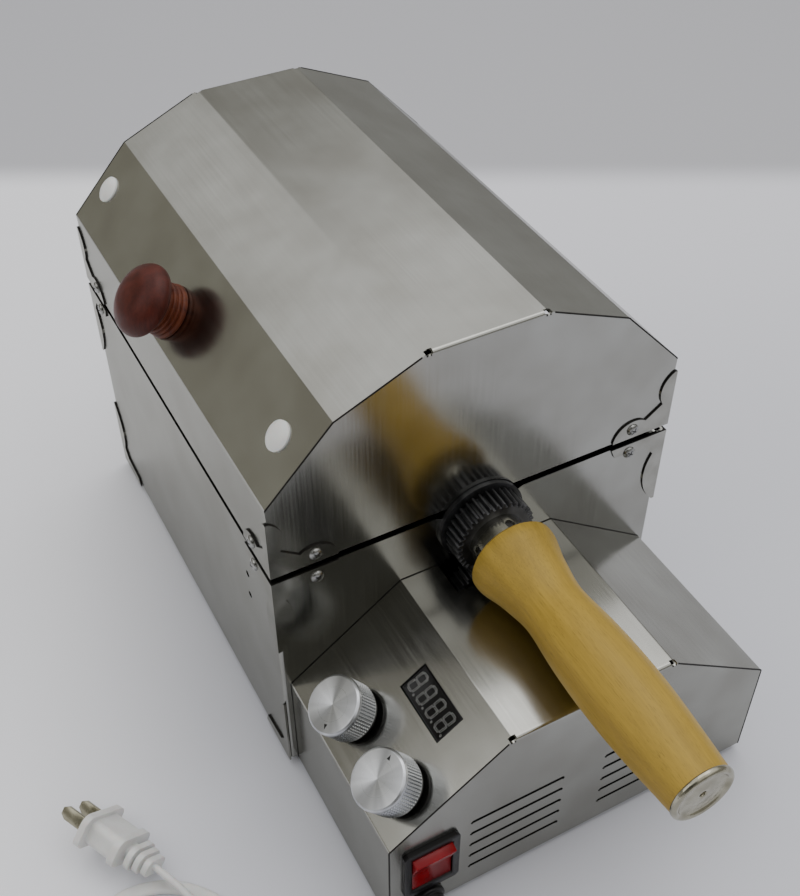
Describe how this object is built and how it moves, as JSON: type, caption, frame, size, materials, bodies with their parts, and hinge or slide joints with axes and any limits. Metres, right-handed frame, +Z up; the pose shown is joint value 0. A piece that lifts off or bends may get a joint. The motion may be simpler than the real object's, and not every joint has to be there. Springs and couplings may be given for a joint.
{
  "type": "drum coffee roaster",
  "caption": "Box-shaped countertop coffee roaster: faceted hinged lid, geared rotating bean drum with a wooden handle, and a sloping control housing.",
  "frame": {"origin": "on the countertop, under the middle of the roasting box, in the plane of the feet's undersides", "axes": "+X runs along the drum's axis towards the wooden handle, -Y faces the user at the lid knob's side, +Y is the hinge side, +Z is up"},
  "size_m": [0.3949, 0.3328, 0.2169],
  "materials": {
    "stainless_shell": "satin, semi-mirror stainless sheet",
    "stainless_trim": "polished",
    "reflector": "bright",
    "perforated_steel": "satin",
    "black_gear_steel": "blackened, satin",
    "turned_steel": "turned",
    "nickel_plate": "plated",
    "brass_bush": "turned",
    "knob_aluminium": "spun",
    "handle_wood": "oiled",
    "knob_wood": "lacquered",
    "quartz": "clear",
    "ceramic": "unglazed ceramic",
    "foot_rubber": "matt",
    "white_plug": "gloss",
    "white_cord": "smooth",
    "black_plastic": "satin",
    "display_black": "gloss",
    "board_green": "matt",
    "red_rocker": "translucent gloss",
    "supply_case": "satin",
    "zinc_screw": "plated"
  },
  "bodies": {
    "roaster_base": {"body_tub": "stainless_shell", "reflector_liner": "reflector", "quartz_heaters": "quartz", "heater_ceramics": "ceramic", "heater_brackets": "turned_steel", "temperature_probe": "turned_steel", "rubber_feet": "foot_rubber", "hinge_body_leaves": "stainless_trim", "hinge_pins": "turned_steel", "body_corner_guards": "stainless_trim", "body_screws": "zinc_screw", "control_cover": "stainless_shell", "control_base": "stainless_shell", "display_module": "display_black", "display_board": "board_green", "control_board": "board_green", "potentiometers": "turned_steel", "potentiometer_nuts": "nickel_plate", "switch_frame": "black_plastic", "switch_terminals": "nickel_plate", "cord_bushing": "black_plastic", "power_cord": "white_cord", "plug_cord": "white_cord", "cord_coil": "white_cord", "plug_body": "white_plug", "plug_blades": "nickel_plate", "motor_gearbox": "nickel_plate", "motor_can": "turned_steel", "motor_bracket": "turned_steel", "power_supply": "supply_case", "front_bush": "turned_steel", "rear_bush": "turned_steel"},
    "lid": {"lid_shell": "stainless_shell", "lid_knob": "knob_wood", "lid_knob_screw": "zinc_screw", "lid_hole_plugs": "white_plug", "lid_corner_guards": "stainless_trim", "lid_screws": "zinc_screw", "hinge_lid_leaves": "stainless_trim"},
    "drum": {"drum_tube": "perforated_steel", "drum_front_plate": "perforated_steel", "drum_rear_plate": "perforated_steel", "drum_vanes": "perforated_steel", "hatch_rails": "perforated_steel", "drum_shaft": "turned_steel", "shaft_collar": "turned_steel", "drum_gear": "black_gear_steel", "gear_hub": "turned_steel", "hub_set_screws": "black_gear_steel", "wooden_handle": "handle_wood", "handle_end_cap": "nickel_plate"},
    "hatch": {"drum_hatch": "perforated_steel"},
    "pinion": {"motor_pinion": "black_gear_steel", "motor_shaft": "turned_steel"},
    "speed_dial": {"speed_knob": "knob_aluminium", "speed_knob_shaft": "turned_steel"},
    "temperature_dial": {"temperature_knob": "knob_aluminium", "temperature_knob_shaft": "turned_steel"},
    "rocker": {"switch_rocker": "red_rocker"}
  },
  "joints": [
    {"name": "lid_hinge", "type": "hinge", "parent": "roaster_base", "child": "lid", "pos_m": [0, 0.0979, 0.129], "axis": [-1, 0, 0], "range_deg": [0, 100]},
    {"name": "drum_spin", "type": "hinge", "parent": "roaster_base", "child": "drum", "pos_m": [0, 0, 0.1183], "axis": [1, 0, 0], "continuous": true},
    {"name": "hatch_slide", "type": "slide", "parent": "drum", "child": "hatch", "axis": [1, 0, 0], "range_m": [-0.072, 0]},
    {"name": "pinion_spin", "type": "hinge", "parent": "roaster_base", "child": "pinion", "pos_m": [0.12, 0, 0.08315], "axis": [1, 0, 0], "continuous": true},
    {"name": "speed_turn", "type": "hinge", "parent": "roaster_base", "child": "speed_dial", "pos_m": [0.1868, -0.07679, 0.07025], "axis": [0, -0.5827, 0.8127], "range_deg": [-150, 150]},
    {"name": "temperature_turn", "type": "hinge", "parent": "roaster_base", "child": "temperature_dial", "pos_m": [0.1483, -0.07679, 0.07025], "axis": [0, -0.5827, 0.8127], "range_deg": [-150, 150]},
    {"name": "rocker_tilt", "type": "hinge", "parent": "roaster_base", "child": "rocker", "pos_m": [0.2041, -0.0729, 0.0365], "axis": [0, 1, 0], "range_deg": [-20, 0]}
  ],
  "couplings": [
    {"joint": "pinion_spin", "follows": "drum_spin", "ratio": -1}
  ]
}
